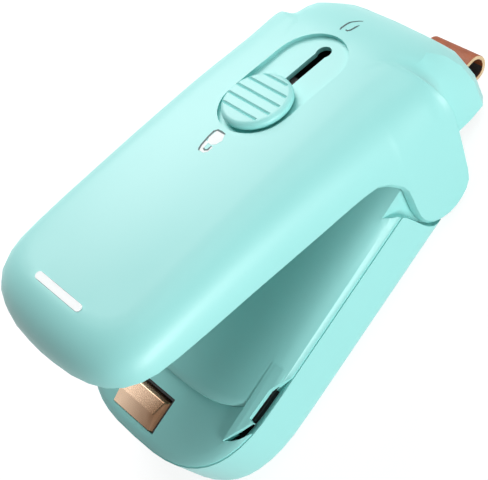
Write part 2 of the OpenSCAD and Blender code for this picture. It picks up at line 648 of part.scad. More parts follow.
module battery_cell() {
    color("silver") on_base() intersection() {
        block(-cell_w / 2, cell_w / 2, cell_y0, cell_y0 + cell_len, cell_z0, cell_z0 + cell_t);
        union() {
            for (s = [-1, 1]) translate([s * (cell_w / 2 - cell_t / 2), cell_y0, cell_z0 + cell_t / 2])
                rotate([-90, 0, 0]) cylinder(d = cell_t, h = cell_len, $fn = 40);
            block(cell_t / 2 - cell_w / 2, cell_w / 2 - cell_t / 2, cell_y0, cell_y0 + cell_len,
                cell_z0, cell_z0 + cell_t);
        }
    }
}
module battery_leads() {
    color("red") on_base() for (x = [2, 4.4]) wire([
        [x, cell_y0 + cell_len + 0.1, cell_z0 + cell_t / 2],
        [x, cell_y0 + cell_len + 0.6, cell_z0 + cell_t / 2],
        [x, board_y0 + 1, board_top + 1.2], [x, board_y0 + 2.8, board_top + 0.5]], 0.8);
}
module main_board() {
    color("darkgreen") on_base() {
        block(board_x0, board_x1, board_y0, board_y1, board_z, board_top);
        block(-2, 3, board_y1 - 5.8, board_y1 - 0.8, board_top, board_top + 1);
        block(board_x1 - 5.5, board_x1 - 2.5, board_y1 - 10.8, board_y1 - 5.8, board_top, board_top + 1.2);
    }
}
module usb_socket() {
    color(steel) on_base() translate([usb_x0, usb_y, usb_z]) rotate([0, 90, 0]) rotate([0, 0, 90])
        difference() {
            slot_bar_flat(usb_w, usb_h, usb_len);
            translate([0, 0, -1]) difference() {
                slot_bar_flat(usb_w - 0.6, usb_h - 0.6, usb_len + 0.1);
                translate([-3.3, -0.35, 2]) cube([6.6, 0.7, 6]);
            }
        }
}
module press_switch() {
    color(dark) on_base() difference() {
        block(switch_x - switch_w / 2, switch_x + switch_w / 2,
            switch_y - switch_w / 2, switch_y + switch_w / 2, board_top, board_top + switch_h);
        translate([switch_x, switch_y, board_top + 1]) cylinder(r = plunger_r + fit, h = 5, $fn = 40);
    }
}
module switch_plunger() {
    color("white") on_base() translate([switch_x, switch_y, board_top + 1.6])
        cylinder(r = plunger_r, h = plunger_top - board_top - 1.6, $fn = 40);
}

module lid_skin() {
    lip = lid_wall / 2;
    inner = concat(
        [for (s = [0.4, 0.8]) lid_top_ring(s, lid_wall)],
        [for (a = [90:-22.5:22.5]) lid_edge_ring(a, lid_wall)],
        [for (w = [1, 0.5, 0]) lid_wall_ring(w, lid_wall, lip)]);
    outer = concat(
        [lid_wall_ring(0, lip, 0)],
        [for (w = [0, 0.33, 0.67, 1]) lid_wall_ring(w, 0, lip)],
        [for (a = [15:15:90]) lid_edge_ring(a, 0)],
        [for (s = [0.8, 0.55, 0.25]) lid_top_ring(s, 0)]);
    skin(concat(inner, outer),
        [0, lid_crown_y, lid_top_z(0, lid_crown_y) - lid_wall],
        [0, lid_crown_y, lid_top_z(0, lid_crown_y)]);
}
light_y = 8.6 - lid_front;
light_tilt = 9;
light_top = lid_top_z(0, light_y) - 0.05;
module on_light() {
    translate([0, light_y, light_top]) rotate([light_tilt, 0, 0]) children();
}
strap_slot_r = strap_r + 0.75;
module lid_shell() {
    color(teal) on_lid() difference() {
        union() {
            lid_skin();
            slot_bar(0, slide_y, track_end, track_r + 1.2, track_base, track_top - 0.8);
            for (s = [-1, 1], y = lid_screw_y) translate([s * lid_screw_x, y, liner_z + liner_t])
                cylinder(r = 2.4, h = lid_top_z(lid_screw_x, y) - 0.8 - liner_z - liner_t, $fn = 40);
            for (s = [-1, 1]) rod_x(s > 0 ? recess_x + 0.3 : 0.8 - cheek_x,
                s > 0 ? cheek_x - 0.8 : -recess_x - 0.3, 0, hinge_z, pin_r + 1.9);
            for (x = [strap_x - strap_w / 2 - 1.9, strap_x + strap_w / 2 + 0.4])
                block(x, x + 1.5, strap_pin_y - 1.6, lid_rear - 1.6, strap_z - 1.8, strap_z + 1.8);
        }
        slot_bar(0, slide_y, track_end, track_r, track_floor, 50);
        slot_bar(0, slide_y - 1.4, key_end_y, key_r, track_base - 1, 50);
        translate([0, key_end_y, track_base - 1]) cylinder(r = key_end_r, h = 10, $fn = 40);
        on_light() translate([0, 0, -6]) slot_bar_flat(light_len + fit, light_w + fit, 12);
        for (s = [-1, 1]) {
            rod_x(s > 0 ? 10 : 0.7 - cheek_x, s > 0 ? cheek_x - 0.7 : -10, 0, hinge_z, pin_r + pin_clear);
            for (y = lid_screw_y) translate([s * lid_screw_x, y, liner_z])
                cylinder(d = screw_d + 0.1, h = 5.4, $fn = 32);
        }
        block(strap_x - strap_w / 2 - 0.3, strap_x + strap_w / 2 + 0.3, strap_pin_y - 3, 40,
            tail_lip - 3, strap_z + strap_slot_r);
        rod_x(strap_x - strap_w / 2 - 1.5, strap_x + strap_w / 2 + 1.5, strap_pin_y, strap_z,
            strap_r - strap_t - 0.03);
    }
}
// Liner that closes the lid from below, with the holes for pad, latch and screws
pad_x0 = heat_x0 - 1.2;
pad_x1 = heat_x1 + 1.2;
pad_y0 = heat_y0 - 0.6;
pad_y1 = heat_y1 + 0.4;
pad_z0 = heater_top + 0.15;
pad_top = pad_z0 + 2;
liner_gap = 0.6;
liner_half = [for (r = lid_half) if (r[1] < -9)
    [lid_in_x(r[0], lid_wall + liner_gap), lid_in_y(r[1], lid_wall + liner_gap)]];
module liner_plan() {
    polygon(concat(liner_half,
        [for (i = [len(liner_half) - 1:-1:1]) [-liner_half[i][0], liner_half[i][1]]]));
}
module lid_liner() {
    color(teal) on_lid() difference() {
        union() {
            translate([0, 0, liner_z]) linear_extrude(liner_t) liner_plan();
            translate([switch_x, switch_y, 0]) post();
            for (s = [-1, 1]) translate([s * 5, light_y - 0.4, liner_z])
                cylinder(r = 1.2, h = led_z - liner_z, $fn = 32);
            intersection() {
                pressed_in_lid()
                    block(pad_x0 - 1, pad_x1 + 1, pad_y0 - 1, pad_y1 + 1, pad_top - 1, pad_top + 1);
                translate([0, 0, liner_z - 8]) linear_extrude(8 + liner_t) liner_plan();
            }
        }
        pressed_in_lid()
            block(pad_x0 - fit / 2, pad_x1 + fit / 2, pad_y0 - fit / 2, pad_y1 + fit / 2, 0, pad_top);
        block(-foot_x / 2 - 0.4, foot_x / 2 + 0.4, foot_at - foot_y / 2 - 0.4,
            foot_at + slide_travel + foot_y / 2 + 0.4, 0, 30);
        for (s = [-1, 1], y = lid_screw_y) translate([s * lid_screw_x, y, liner_z - 1]) {
            cylinder(d = screw_d + 2 * fit, h = 4, $fn = 32);
            cylinder(d = screw_head_d + 2 * fit, h = 1 + 0.7, $fn = 32);
        }
    }
}
// Turns what is drawn for the pressed lid into the frame of the level lid
module pressed_in_lid() {
    translate([0, 0, hinge_z]) rotate([-press_angle, 0, 0]) translate([0, 0, -hinge_z]) children();
}
// Post that pushes the switch as the lid is pressed shut
module post() {
    reach = hinge_z + (plunger_top - plunge + 0.1 - hinge_z) * cos(press_angle)
        - switch_y * sin(press_angle);
    translate([0, 0, reach]) cylinder(r = post_r, h = liner_z - reach + 0.5, $fn = 32);
}
module lid_screws() {
    color(steel) on_lid() for (s = [-1, 1], y = lid_screw_y)
        translate([s * lid_screw_x, y, 0]) screw(liner_z - 0.5, liner_z + 5);
}
module pressure_pad() {
    color("dimgray") on_pressed_lid() block(pad_x0, pad_x1, pad_y0, pad_y1, pad_z0, pad_top);
}
module light_guide() {
    color("white") on_lid() on_light() translate([0, 0, -2.6]) slot_bar_flat(light_len, light_w, 2.65);
}
led_z = light_top - 4.6;
module led_board() {
    color("darkgreen") on_lid() {
        block(-8, 8, light_y - 2.2, light_y + 2.2, led_z, led_z + board_t);
        for (x = [-4.5, 0, 4.5]) block(x - 0.8, x + 0.8, light_y - 0.5, light_y + 0.5,
            led_z + board_t, led_z + board_t + 0.7);
    }
}
module strap_pin() {
    color(steel) on_lid() rod_x(strap_x - strap_w / 2 - 1.4, strap_x + strap_w / 2 + 1.4,
        strap_pin_y, strap_z, strap_r - strap_t - 0.05);
}
module strap_loop() {
    color("sienna") on_lid() translate([strap_x - strap_w / 2, 0, strap_z]) rotate([0, 90, 0]) difference() {
        band(0, strap_w);
        translate([0, 0, -1]) band(strap_t, strap_w + 2);
    }
}
// Strap on its side, wider at the fold than round its pin, less a depth inside its face
module band(less, w) {
    hull() {
        translate([0, strap_pin_y, 0]) cylinder(r = strap_r - less, h = w, $fn = 48);
        translate([0, strap_tip_y, 0]) cylinder(r = fold_r - less, h = w, $fn = 48);
    }
}

// Slide: round button with ribs, its latch inside the lid, and the screw between them
button_rise = 1.1;
button_top = track_top + button_rise;
rib_pitch = button_d * 0.72 / rib_count;
module slide_button() {
    color(teal) on_lid() translate([0, slide_y, 0]) difference() {
        union() {
            rotate_extrude($fn = 96) polygon(concat(
                [[0, track_floor + 0.2], [button_r - 0.3, track_floor + 0.2], [button_r, track_floor + 0.5]],
                [for (a = [0:15:90]) [button_r - 0.9 + 0.9 * cos(a), button_top - 0.9 + 0.9 * sin(a)]],
                [[0, button_top]]));
            block(-stem_x / 2, stem_x / 2, -2, 2, latch_top, track_floor + 0.3);
        }
        for (i = [0:rib_count - 1]) translate([-button_r, (i - rib_count / 2) * rib_pitch, button_top])
            rotate([90, 0, 90]) linear_extrude(button_d) polygon([[0, 0.5], [0, -0.75],
                [rib_pitch * 0.8, 0.0], [rib_pitch * 0.8, 0.5]]);
        translate([0, 0, latch_top - 1]) cylinder(d = 1.3, h = 3.3, $fn = 24);
    }
}
module slide_latch() {
    color(dark) on_lid() translate([0, slide_y, 0]) difference() {
        union() {
            block(-4, 4, -foot_ahead - foot_y / 2, 10, latch_top - latch_t, latch_top);
            translate([0, -foot_ahead, foot_top]) {
                block(-stem_x / 2, stem_x / 2, -1.1, 1.1, -foot_t, latch_top - latch_t - foot_top + 0.2);
                block(-foot_x / 2, foot_x / 2, -foot_y / 2, foot_y / 2, -foot_t, 0);
            }
        }
        translate([0, 0, latch_top - latch_t - 1]) cylinder(d = 1.5, h = 4, $fn = 24);
    }
}
module slide_screw() {
    color(steel) on_lid() translate([0, slide_y, 0]) {
        translate([0, 0, latch_top - latch_t - 0.9]) cylinder(d = 2.6, h = 0.9, $fn = 32);
        translate([0, 0, latch_top - latch_t]) cylinder(d = 1.3, h = latch_t + 2.1, $fn = 24);
    }
}

base_shell();
base_deck();
base_screws();
hinge_pin();
return_spring();
heater_seat();
heater_core();
heater_block();
heater_leads();
blade_holder();
cutter_blade();
battery_cell();
battery_leads();
main_board();
usb_socket();
press_switch();
switch_plunger();
lid_shell();
lid_liner();
lid_screws();
pressure_pad();
light_guide();
led_board();
strap_pin();
strap_loop();
slide_button();
slide_latch();
slide_screw();
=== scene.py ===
"""Looks for the mini bag sealer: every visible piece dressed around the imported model.

The lid stands open on its spring over a base with a bronze heater bar, and a folded strap
hangs from its tail. Each sub-assembly is a class that makes its meshes and gives them their
finish. Sizes are in millimetres and are turned to metres where a mesh is made.
"""

import json
import logging
import math
from dataclasses import dataclass
from enum import Enum
from typing import Any, Sequence

import bpy
from mathutils import Matrix, Vector


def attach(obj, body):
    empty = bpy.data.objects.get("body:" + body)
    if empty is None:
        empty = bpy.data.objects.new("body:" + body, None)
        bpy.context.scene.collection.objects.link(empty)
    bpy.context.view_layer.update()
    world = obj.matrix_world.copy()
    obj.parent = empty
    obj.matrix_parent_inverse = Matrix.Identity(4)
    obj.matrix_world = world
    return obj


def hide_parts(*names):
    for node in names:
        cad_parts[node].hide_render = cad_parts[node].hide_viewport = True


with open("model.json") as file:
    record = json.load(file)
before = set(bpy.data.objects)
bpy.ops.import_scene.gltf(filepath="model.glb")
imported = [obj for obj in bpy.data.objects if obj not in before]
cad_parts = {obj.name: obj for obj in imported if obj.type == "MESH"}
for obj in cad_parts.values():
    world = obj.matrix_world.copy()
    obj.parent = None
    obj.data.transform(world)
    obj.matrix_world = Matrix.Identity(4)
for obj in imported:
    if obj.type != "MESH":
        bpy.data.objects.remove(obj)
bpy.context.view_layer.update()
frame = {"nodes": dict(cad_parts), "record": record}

MM = 0.001
# How close points are welded and how thin a sliver goes, in millimetres
WELD_MM = 0.004
SLIVER_MM = 0.001
# Edges sharper than these many degrees are rounded
CUT_EDGE_ANGLE = 60.0
EDGE_ANGLE = 35.0
# Edges sharper than these many degrees stay sharp in the shading
SKIN_ANGLE = 40.0
SHELL_ANGLE = 30.0
CRISP_ANGLE = 3.0
# Worn places get no smoother than this
LEAST_ROUGHNESS = 0.03
Point = tuple[float, float, float]
Flat = tuple[float, float]

logging.basicConfig(level=logging.INFO, format="%(name)s: %(message)s")
LOG = logging.getLogger("sealer")


# ---------------------------------------------------------------- colours and nodes


def linear_from_hex(code: str) -> tuple[float, float, float, float]:
    """Turns an sRGB hex colour into linear light.

    Args:
        code: Six hex digits with a leading hash.

    Returns:
        Red, green, blue and an alpha of one.
    """
    values = [int(code[i : i + 2], 16) / 255 for i in (1, 3, 5)]
    red, green, blue = [
        v / 12.92 if v <= 0.04045 else ((v + 0.055) / 1.055) ** 2.4 for v in values
    ]
    return red, green, blue, 1.0


def add_node(
    tree: bpy.types.NodeTree,
    kind: str,
    settings: dict[str, Any] | None = None,
    links: dict[str, bpy.types.NodeSocket] | None = None,
) -> bpy.types.Node:
    """Adds a node, sets its options and input values, and links its inputs.

    Args:
        tree: The node tree that gets the node.
        kind: Blender's name of the node type.
        settings: Input values by socket name, or options by attribute name.
        links: Output sockets by the input name or index that they feed.

    Returns:
        The new node.
    """
    node = tree.nodes.new(kind)
    for name, value in (settings or {}).items():
        if hasattr(node, name):
            setattr(node, name, value)
        else:
            node.inputs[name].default_value = value
    for name, socket in (links or {}).items():
        tree.links.new(socket, node.inputs[name])
    return node


class Grain(Enum):
    """How a surface was made, which sets the pattern of its relief."""

    MOULDED = "spark-eroded mould"
    BRUSHED = "brushed along its length"
    ROLLED = "rolled sheet"
    HIDE = "pebbled hide"
    CUT_HIDE = "cut edge of hide"
    FIRED = "pressed and fired powder"
    LAMINATE = "glass cloth under mask"
    PRINT = "pad printed ink"


@dataclass(frozen=True)
class Finish:
    """One real finish: its material, its colours and the relief of its surface."""

    name: str
    colour: str
    shade: str
    grain: Grain
    grain_mm: float
    relief_mm: float
    roughness: float
    metallic: float = 0.0
    ior: float = 1.5
    coat: float = 0.0
    sheen: float = 0.0
    mottle_mm: float = 12.0
    mottle: float = 0.25
    painted_shade_mm: Flat | None = None
    painted_shade_most: float = 0.85
    coat_roughness: float = 0.35
    wear: float = 0.05

    def stretch(self) -> Point:
        """Gives how far the grain is drawn out along X, Y and Z."""
        return {
            Grain.BRUSHED: (0.06, 1.0, 1.0),
            Grain.ROLLED: (0.15, 1.0, 1.0),
        }.get(self.grain, (1.0, 1.0, 1.0))

    def relief(
        self, tree: bpy.types.NodeTree, where: bpy.types.NodeSocket
    ) -> bpy.types.NodeSocket:
        """Adds the pattern of the grain.

        Args:
            tree: The material's node tree.
            where: Coordinates in metres on the piece.

        Returns:
            The height of the grain, from zero to one.
        """
        placed = add_node(
            tree,
            "ShaderNodeMapping",
            {"Scale": self.stretch()},
            {"Vector": where},
        ).outputs["Vector"]
        scale = 1.0 / (self.grain_mm * MM)
        if self.grain in (Grain.HIDE, Grain.CUT_HIDE):
            cells = add_node(
                tree,
                "ShaderNodeTexVoronoi",
                {"Scale": scale, "Randomness": 0.9, "feature": "SMOOTH_F1"},
                {"Vector": placed},
            )
            return cells.outputs["Distance"]
        if self.grain is Grain.LAMINATE:
            weave = add_node(
                tree,
                "ShaderNodeTexWave",
                {"Scale": scale, "Distortion": 0.4},
                {"Vector": placed},
            )
            return weave.outputs["Fac"]
        speckle = add_node(
            tree,
            "ShaderNodeTexNoise",
            {"Scale": scale, "Detail": 3.0, "Roughness": 0.6},
            {"Vector": placed},
        )
        return speckle.outputs["Fac"]

    def painted_shade_ramp(
        self,
        tree: bpy.types.NodeTree,
        where: bpy.types.NodeSocket,
        mottle: bpy.types.NodeSocket,
    ) -> bpy.types.NodeSocket:
        """Adds painted shade that darkens the strip along X, from one end to the other.

        Args:
            tree: The material's node tree.
            where: Coordinates in metres on the piece.
            mottle: The share of the shade colour without the painted shade.

        Returns:
            The share of the shade colour with it.
        """
        start, end = (value * MM for value in self.painted_shade_mm)
        along = add_node(tree, "ShaderNodeSeparateXYZ", None, {"Vector": where})
        shaded = add_node(
            tree,
            "ShaderNodeMapRange",
            {"From Min": start, "From Max": end, "To Min": 0.0, "To Max": self.painted_shade_most},
            {"Value": along.outputs["X"]},
        )
        both = add_node(
            tree,
            "ShaderNodeMath",
            {"operation": "ADD", "use_clamp": True},
            {0: shaded.outputs["Result"], 1: mottle},
        )
        return both.outputs[0]

    def build(self) -> bpy.types.Material:
        """Makes the material, or hands back the one made before.

        Returns:
            The node material of this finish.
        """
        made = bpy.data.materials.get(self.name)
        if made is not None:
            return made
        material = bpy.data.materials.new(self.name)
        material.use_nodes = True
        tree = material.node_tree
        tree.nodes.clear()
        where = add_node(tree, "ShaderNodeTexCoord").outputs["Object"]
        height = self.relief(tree, where)
        cloud = add_node(
            tree,
            "ShaderNodeTexNoise",
            {"Scale": 1.0 / (self.mottle_mm * MM), "Detail": 2.0, "Roughness": 0.5},
            {"Vector": where},
        )
        spread = add_node(
            tree,
            "ShaderNodeMapRange",
            {"From Min": 0.35, "From Max": 0.65, "To Min": 0.0, "To Max": self.mottle},
            {"Value": cloud.outputs["Fac"]},
        )
        share = spread.outputs["Result"]
        # Painted shade: the colour darkens along X over the given span
        if self.painted_shade_mm is not None:
            share = self.painted_shade_ramp(tree, where, share)
        tone = add_node(
            tree,
            "ShaderNodeMix",
            {"data_type": "RGBA"},
            {"Factor": share},
        )
        tone.inputs[6].default_value = linear_from_hex(self.colour)
        tone.inputs[7].default_value = linear_from_hex(self.shade)
        wear = add_node(
            tree,
            "ShaderNodeMapRange",
            {
                "From Min": 0.2,
                "From Max": 0.8,
                "To Min": max(LEAST_ROUGHNESS, self.roughness - self.wear),
                "To Max": min(1.0, self.roughness + self.wear),
            },
            {"Value": height},
        )
        bump = add_node(
            tree,
            "ShaderNodeBump",
            {"Strength": 1.0, "Distance": self.relief_mm * MM},
            {"Height": height},
        )
        shader = add_node(
            tree,
            "ShaderNodeBsdfPrincipled",
            {
                "Metallic": self.metallic,
                "IOR": self.ior,
                "Coat Weight": self.coat,
                "Coat Roughness": self.coat_roughness,
                "Sheen Weight": self.sheen,
            },
            {
                "Base Color": tone.outputs[2],
                "Roughness": wear.outputs["Result"],
                "Normal": bump.outputs["Normal"],
            },
        )
        add_node(
            tree,
            "ShaderNodeOutputMaterial",
            None,
            {"Surface": shader.outputs["BSDF"]},
        )
        return material


# Moulded ABS of the shells: satin, with a soft wide highlight and next to no grain
AQUA_ABS = Finish(
    "aqua_satin_abs", "#9DE4E0", "#95DFDB", Grain.MOULDED, 0.35, 0.004, 0.48,
    ior=1.53, coat=0.3, mottle_mm=30.0,
)
# Bronze coloured heater bar: rolled strip, with painted shade that darkens it along X from one
# end to the other
BRONZE_STRIP = Finish(
    "bronze_heater_strip", "#DFC1A6", "#6C4C34", Grain.ROLLED, 0.35, 0.0015, 0.26,
    metallic=1.0, mottle_mm=6.0, mottle=0.12, painted_shade_mm=(-7.5, 2.2),
)
# Black heat proof moulding round the bar and the blade: dull, slightly grained
BLACK_PPS = Finish(
    "black_glass_filled_pps", "#0B0B0B", "#141414", Grain.MOULDED, 0.4, 0.01, 0.55,
)
# Nickel plated steel of pins and screws: bright, with fine turning marks
PLATED_STEEL = Finish(
    "nickel_plated_steel", "#B9BBBD", "#9FA1A3", Grain.BRUSHED, 0.3, 0.004, 0.25,
    metallic=1.0,
)
# Ground blade steel: brighter and smoother than the plated pieces
BLADE_STEEL = Finish(
    "ground_blade_steel", "#D2D4D6", "#B8BBBE", Grain.BRUSHED, 0.25, 0.003, 0.18,
    metallic=1.0,
)
# Silicone pad: soft grey, matt, with a faint dusting
SILICONE = Finish(
    "grey_silicone_rubber", "#4E4F50", "#5A5B5C", Grain.MOULDED, 0.5, 0.01, 0.7,
    sheen=0.1,
)
# Milky acrylic of the light bar: white, glossy, hardly any pattern
MILKY_ACRYLIC = Finish(
    "milky_acrylic", "#FAFDFD", "#F1F8F8", Grain.MOULDED, 0.6, 0.002, 0.2, ior=1.49,
)
# White acetal of the switch plunger, slippery and slightly waxy
WHITE_ACETAL = Finish(
    "white_acetal", "#E9E9E6", "#DDDDDA", Grain.MOULDED, 0.4, 0.005, 0.35, ior=1.48,
)
# Fired alumina plate: chalky white
ALUMINA = Finish("fired_alumina", "#EDEAE2", "#E0DCD2", Grain.FIRED, 0.2, 0.01, 0.8)
# Epoxy board under green mask: glossy over a glass weave
GREEN_BOARD = Finish(
    "green_masked_epoxy_board", "#12533A", "#0E4530", Grain.LAMINATE, 0.9, 0.006, 0.35,
)
# Aluminium laminate of the cell's pouch: silvery, wrinkled
POUCH_FOIL = Finish(
    "aluminium_laminate_pouch", "#BFC1C4", "#A8ABAF", Grain.ROLLED, 2.5, 0.05, 0.35,
    metallic=1.0,
)
# Sleeves of the leads: soft silicone by the heater, plain red PVC at the cell
WHITE_SLEEVE = Finish(
    "white_silicone_sleeve", "#E4E3DE", "#D8D6D0", Grain.MOULDED, 0.5, 0.005, 0.5,
)
RED_SLEEVE = Finish(
    "red_pvc_sleeve", "#B3201B", "#9C1B17", Grain.MOULDED, 0.5, 0.005, 0.4,
)
# Tanned strap: brown pebbled face, cream cut edges, and a flesh side painted near black as the
# shade inside the fold
TAN_LEATHER = Finish(
    "tan_strap_leather", "#A04C1A", "#843C12", Grain.HIDE, 0.45, 0.03, 0.6,
    sheen=0.03, mottle_mm=3.0, mottle=0.7,
)
CUT_EDGE = Finish(
    "cream_cut_edge", "#D9BE97", "#C4A57C", Grain.CUT_HIDE, 0.3, 0.02, 0.75,
    mottle_mm=1.5, mottle=0.6,
)
FLESH_SIDE_PAINTED_SHADE = Finish(
    "dark_flesh_side", "#24150D", "#190D08", Grain.CUT_HIDE, 0.5, 0.03, 0.85,
    sheen=0.2,
)
# Pad printed ink of the two lock marks: white fill, and dark teal strokes that are painted shadow
# along the padlock outlines
WHITE_INK = Finish("white_pad_ink", "#FBFEFE", "#F2F9F9", Grain.PRINT, 0.3, 0.002, 0.5)
PAINTED_SHADOW_INK = Finish("deep_teal_pad_ink", "#0E3F40", "#0A3435", Grain.PRINT, 0.3, 0.002, 0.5)


# ---------------------------------------------------------------- mesh helpers


def link_new(name: str, mesh: bpy.types.Mesh) -> bpy.types.Object:
    """Makes an object of a mesh and links it to the scene.

    Args:
        name: The name of the object.
        mesh: Its mesh.

    Returns:
        The new object.
    """
    obj = bpy.data.objects.new(name, mesh)
    bpy.context.scene.collection.objects.link(obj)
    return obj


def only(obj: bpy.types.Object) -> None:
    """Selects one object alone and makes it the active one.

    Args:
        obj: The object.
    """
    bpy.ops.object.select_all(action="DESELECT")
    obj.select_set(True)
    bpy.context.view_layer.objects.active = obj


def dress(obj: bpy.types.Object, *finishes: Finish) -> None:
    """Gives an object its materials, the first one on all its faces.

    Args:
        obj: The object that is dressed.
        finishes: Its finishes, in the order of its material slots.
    """
    mesh = obj.data
    mesh.materials.clear()
    for finish in finishes:
        mesh.materials.append(finish.build())
    if len(finishes) == 1:
        for polygon in mesh.polygons:
            polygon.material_index = 0


def settle(obj: bpy.types.Object) -> None:
    """Moves an object's place into its mesh."""
    only(obj)
    bpy.ops.object.transform_apply(location=True, rotation=True, scale=True)


def with_modifier(obj: bpy.types.Object, kind: str, **settings: Any) -> None:
    """Adds a modifier, sets it and applies it.

    Args:
        obj: The object that is changed.
        kind: Blender's name of the modifier type.
        settings: The modifier's own settings.
    """
    only(obj)
    modifier = obj.modifiers.new(kind.lower(), kind)
    for name, value in settings.items():
        setattr(modifier, name, value)
    bpy.ops.object.modifier_apply(modifier=modifier.name)


def merged_copy(node: str, name: str, angle: float) -> bpy.types.Object:
    """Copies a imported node, joins its loose triangles and smooths its curved faces.

    Args:
        node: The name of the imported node.
        name: The name of the copy.
        angle: Edges sharper than this many degrees stay sharp.

    Returns:
        The copy, at the origin, with a mesh of its own.
    """
    source = frame["nodes"][node]
    obj = link_new(name, source.data.copy())
    only(obj)
    bpy.ops.mesh.customdata_custom_splitnormals_clear()
    bpy.ops.object.mode_set(mode="EDIT")
    bpy.ops.mesh.select_all(action="SELECT")
    bpy.ops.mesh.remove_doubles(threshold=WELD_MM * MM)
    bpy.ops.mesh.mark_sharp(clear=True)
    bpy.ops.mesh.dissolve_degenerate(threshold=SLIVER_MM * MM)
    bpy.ops.object.mode_set(mode="OBJECT")
    smooth(obj, angle)
    return obj


def smooth(obj: bpy.types.Object, angle: float) -> None:
    """Smooths the shading of an object.

    Args:
        obj: The object.
        angle: Edges sharper than this many degrees stay sharp.
    """
    only(obj)
    bpy.ops.object.shade_smooth_by_angle(angle=math.radians(angle))


def soften(obj: bpy.types.Object, width_mm: float, angle: float = EDGE_ANGLE) -> None:
    """Rounds the sharp edges of a merged copy.

    Args:
        obj: The copy.
        width_mm: How far the rounding reaches to each side.
        angle: Only edges sharper than this many degrees are rounded.
    """
    with_modifier(
        obj,
        "BEVEL",
        width=width_mm * MM,
        segments=2,
        limit_method="ANGLE",
        angle_limit=math.radians(angle),
        use_clamp_overlap=True,
        harden_normals=False,
    )
    smooth(obj, SKIN_ANGLE)


@dataclass(frozen=True)
class Hinge:
    """The lid's hinge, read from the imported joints."""

    y: float
    z: float
    open_degrees: float = 22.0

    @classmethod
    def from_frame(cls) -> "Hinge":
        """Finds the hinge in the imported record.

        Returns:
            The hinge with its place in metres.
        """
        joints = frame["record"]["behaviour"]["joints"]
        place = next(j["pos_m"] for j in joints if j["name"] == "lid_hinge")
        return cls(place[1], place[2])

    def lid_matrix(self) -> Matrix:
        """Gives the turn from the level lid, with the pin at y = 0, to the open one.

        Returns:
            The turn and the move to the hinge's place, in metres.
        """
        turn = Matrix.Rotation(-math.radians(self.open_degrees), 4, "X")
        return (
            Matrix.Translation((0, self.y, self.z))
            @ turn
            @ Matrix.Translation((0, 0, -self.z))
        )


HINGE = Hinge.from_frame()


def lay_on_lid(obj: bpy.types.Object) -> None:
    """Turns a piece drawn on the level lid, in metres from the pin, to the open lid."""
    obj.matrix_world = HINGE.lid_matrix() @ obj.matrix_world
    settle(obj)


def ramp(value: float, start: float, end: float) -> float:
    """Rises smoothly from zero at start to one at end."""
    t = min(1.0, max(0.0, (value - start) / (end - start)))
    return t * t * (3 - 2 * t)


@dataclass(frozen=True)
class Bulge:
    """A smooth move of the lid's wall outwards, in millimetres on the level lid."""

    out: float
    x_rise: Flat
    y_rise: Flat
    y_fall: Flat

    def at(self, x: float, y: float) -> float:
        """Gives the move at a place, which is the same on both sides of the lid."""
        share = ramp(abs(x), *self.x_rise) * ramp(y, *self.y_rise)
        return self.out * share * (1 - ramp(y, *self.y_fall))


# The tail's shoulder is filled and the end of the straight side swells, less where they meet
SHOULDER = Bulge(1.9, (8.5, 15.0), (3.0, 8.0), (8.0, 23.0))
SIDE_END = Bulge(0.5, (15.0, 18.0), (-6.0, 4.2), (4.6, 8.0))
SHOULDER_RISE = (19.0, 31.0)


def ease_shoulders(lid: bpy.types.Object) -> None:
    """Fills the waist where the lid's upper edge runs into its tail.

    Args:
        lid: The lid's smooth copy.
    """
    to_open = HINGE.lid_matrix()
    to_level = to_open.inverted()
    for vertex in lid.data.vertices:
        place = to_level @ vertex.co
        x, y, z = (value / MM for value in place)
        move = ramp(z, *SHOULDER_RISE) * (SHOULDER.at(x, y) - SIDE_END.at(x, y))
        place.x += math.copysign(move * MM, x)
        vertex.co = to_open @ place
    smooth(lid, SHELL_ANGLE)


# ---------------------------------------------------------------- the sealer


@dataclass
class DressedNode:
    """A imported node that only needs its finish, or a smooth copy.

    A copy is made where smooth, in degrees, is over zero. Its edges are rounded by edge_mm, and
    its flat faces keep a plain sheen where crisp is set.
    """

    node: str
    finish: Finish
    body: str
    smooth: float = 0.0
    edge_mm: float = 0.0
    crisp: bool = False

    def build(self) -> bpy.types.Object:
        """Dresses the node, by a smooth copy where one is asked for.

        Returns:
            The object that shows.
        """
        if self.smooth <= 0:
            obj = frame["nodes"][self.node]
            dress(obj, self.finish)
            return obj
        obj = merged_copy(self.node, self.node + "_skin", self.smooth)
        if self.edge_mm > 0:
            soften(obj, self.edge_mm, self.smooth if self.crisp else EDGE_ANGLE)
        if self.crisp:
            smooth(obj, CRISP_ANGLE)
        dress(obj, self.finish)
        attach(obj, self.body)
        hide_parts(self.node)
        return obj


